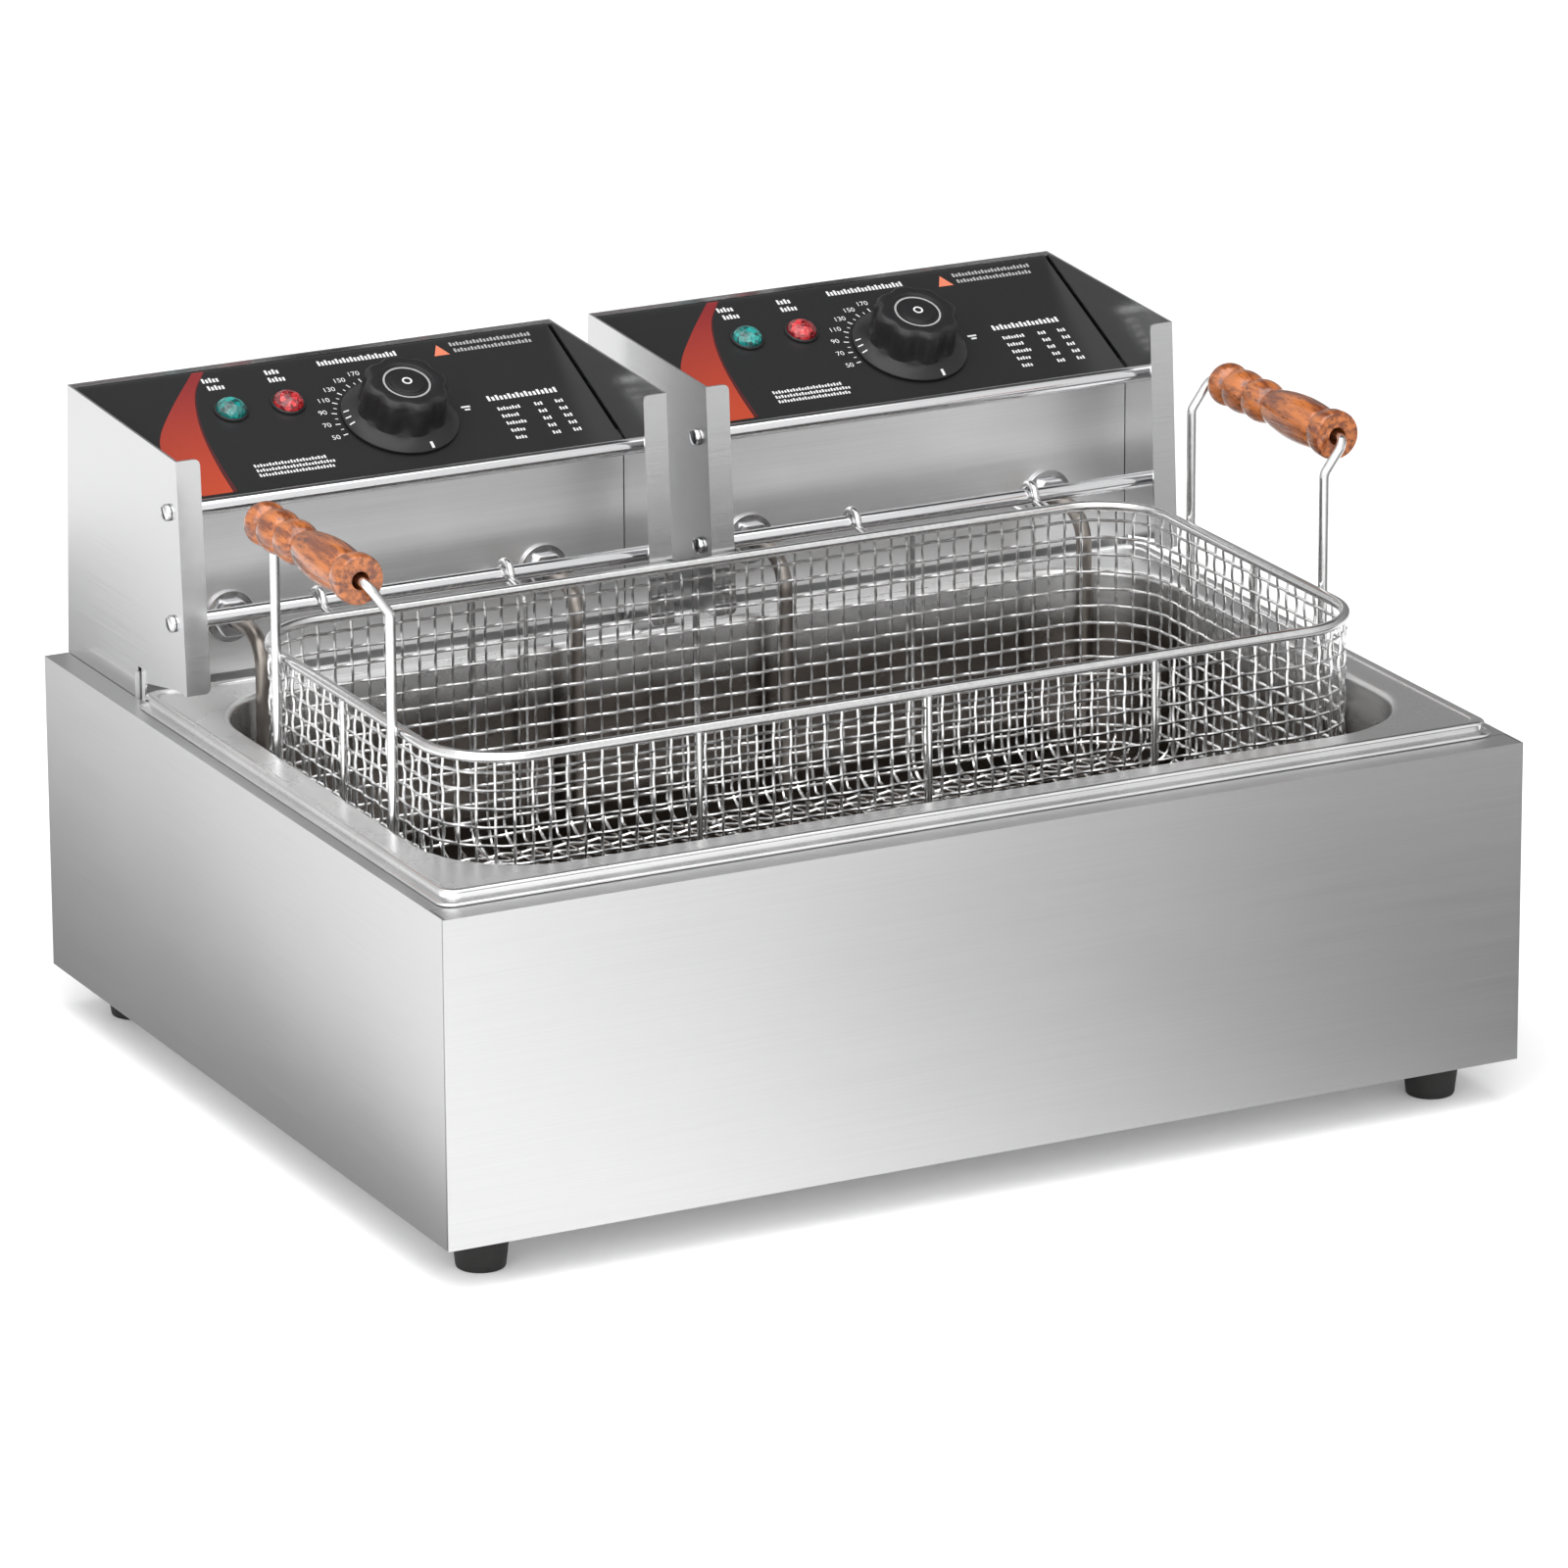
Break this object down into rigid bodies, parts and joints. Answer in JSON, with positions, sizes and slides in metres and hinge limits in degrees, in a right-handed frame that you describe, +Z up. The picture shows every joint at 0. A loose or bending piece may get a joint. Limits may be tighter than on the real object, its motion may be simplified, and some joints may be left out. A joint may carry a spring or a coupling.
{
  "type": "deep fryer",
  "caption": "Countertop electric deep fryer: wide steel housing, lift-out tank, heating heads with dials, and a wire basket hung on rails.",
  "frame": {"origin": "under the middle of the fryer's overall box, on the surface its feet stand on", "axes": "+X to the viewer's right along the front, +Y from the front to the back, +Z up"},
  "size_m": [0.58, 0.4864, 0.3315],
  "materials": {
    "brushed_steel": "satin brushed stainless steel sheet",
    "polished_steel": "bright polished steel rod, wire and screws",
    "tank_steel": "smooth drawn stainless steel",
    "panel_black": "satin charcoal face with printed marks",
    "knob_black": "moulded black plastic",
    "rubber": "black rubber",
    "wood": "varnished orange-brown wood",
    "lamp_green": "clear teal-green lens",
    "lamp_red": "clear red lens",
    "element_steel": "dull heat-stained tube"
  },
  "bodies": {
    "housing": {"housing_shell": "brushed_steel", "front_panel": "brushed_steel", "base_plate": "brushed_steel", "foot_front_left": "rubber", "foot_front_right": "rubber", "foot_rear_left": "rubber", "foot_rear_right": "rubber", "base_screw_front_left": "polished_steel", "base_screw_front_right": "polished_steel", "base_screw_rear_left": "polished_steel", "base_screw_rear_right": "polished_steel"},
    "tank": {"tank": "tank_steel"},
    "left_head": {"left_head_shell": "brushed_steel", "left_head_base": "brushed_steel", "left_front_plate": "brushed_steel", "left_fascia": "panel_black", "left_upper_rod": "polished_steel", "left_basket_rail": "polished_steel", "left_upper_rod_screw_left": "polished_steel", "left_upper_rod_screw_right": "polished_steel", "left_basket_rail_screw_left": "polished_steel", "left_basket_rail_screw_right": "polished_steel", "left_power_lamp": "lamp_green", "left_heat_lamp": "lamp_red", "left_thermostat": "brushed_steel", "left_heating_element": "element_steel", "left_element_nut_left": "polished_steel", "left_element_nut_right": "polished_steel", "left_cutout": "knob_black", "left_cable_gland": "knob_black"},
    "right_head": {"right_head_shell": "brushed_steel", "right_head_base": "brushed_steel", "right_front_plate": "brushed_steel", "right_fascia": "panel_black", "right_upper_rod": "polished_steel", "right_basket_rail": "polished_steel", "right_upper_rod_screw_left": "polished_steel", "right_upper_rod_screw_right": "polished_steel", "right_basket_rail_screw_left": "polished_steel", "right_basket_rail_screw_right": "polished_steel", "right_power_lamp": "lamp_green", "right_heat_lamp": "lamp_red", "right_thermostat": "brushed_steel", "right_heating_element": "element_steel", "right_element_nut_left": "polished_steel", "right_element_nut_right": "polished_steel", "right_cutout": "knob_black", "right_cable_gland": "knob_black"},
    "left_dial": {"left_knob": "knob_black", "left_dial_shaft": "polished_steel"},
    "right_dial": {"right_knob": "knob_black", "right_dial_shaft": "polished_steel"},
    "left_reset": {"left_reset_button": "lamp_red"},
    "right_reset": {"right_reset_button": "lamp_red"},
    "basket": {"basket_mesh": "polished_steel", "basket_frame": "polished_steel", "left_handle_wire": "polished_steel", "right_handle_wire": "polished_steel"},
    "left_handle_grip": {"left_grip": "wood"},
    "right_handle_grip": {"right_grip": "wood"}
  },
  "joints": [
    {"name": "tank_lift", "type": "slide", "parent": "housing", "child": "tank", "axis": [0, 0, 1], "range_m": [0, 0.17]},
    {"name": "left_head_lift", "type": "slide", "parent": "tank", "child": "left_head", "axis": [0, 0, 1], "range_m": [0, 0.19]},
    {"name": "right_head_lift", "type": "slide", "parent": "tank", "child": "right_head", "axis": [0, 0, 1], "range_m": [0, 0.19]},
    {"name": "basket_lift", "type": "slide", "parent": "left_head", "child": "basket", "axis": [0, 0, 1], "range_m": [0, 0.04]},
    {"name": "left_dial_turn", "type": "hinge", "parent": "left_head", "child": "left_dial", "pos_m": [-0.1197, 0.16639, 0.30133], "axis": [0, -0.4112, 0.9116], "range_deg": [-270, 0]},
    {"name": "left_reset_press", "type": "slide", "parent": "left_head", "child": "left_reset", "axis": [0, -0.9984, -0.0566], "range_m": [0, 0.002], "stiffness_N_per_m": 300, "springref_m": -0.001},
    {"name": "right_dial_turn", "type": "hinge", "parent": "right_head", "child": "right_dial", "pos_m": [0.1683, 0.16639, 0.30133], "axis": [0, -0.4112, 0.9116], "range_deg": [-270, 0]},
    {"name": "right_reset_press", "type": "slide", "parent": "right_head", "child": "right_reset", "axis": [0, -0.9984, -0.0566], "range_m": [0, 0.002], "stiffness_N_per_m": 300, "springref_m": -0.001},
    {"name": "left_grip_spin", "type": "hinge", "parent": "basket", "child": "left_handle_grip", "pos_m": [-0.26505, -0.04433, 0.308], "axis": [0, 1, 0], "continuous": true},
    {"name": "right_grip_spin", "type": "hinge", "parent": "basket", "child": "right_handle_grip", "pos_m": [0.26505, -0.04433, 0.308], "axis": [0, 1, 0], "continuous": true}
  ],
  "couplings": [
    {"joint": "right_head_lift", "follows": "left_head_lift", "ratio": 1}
  ]
}
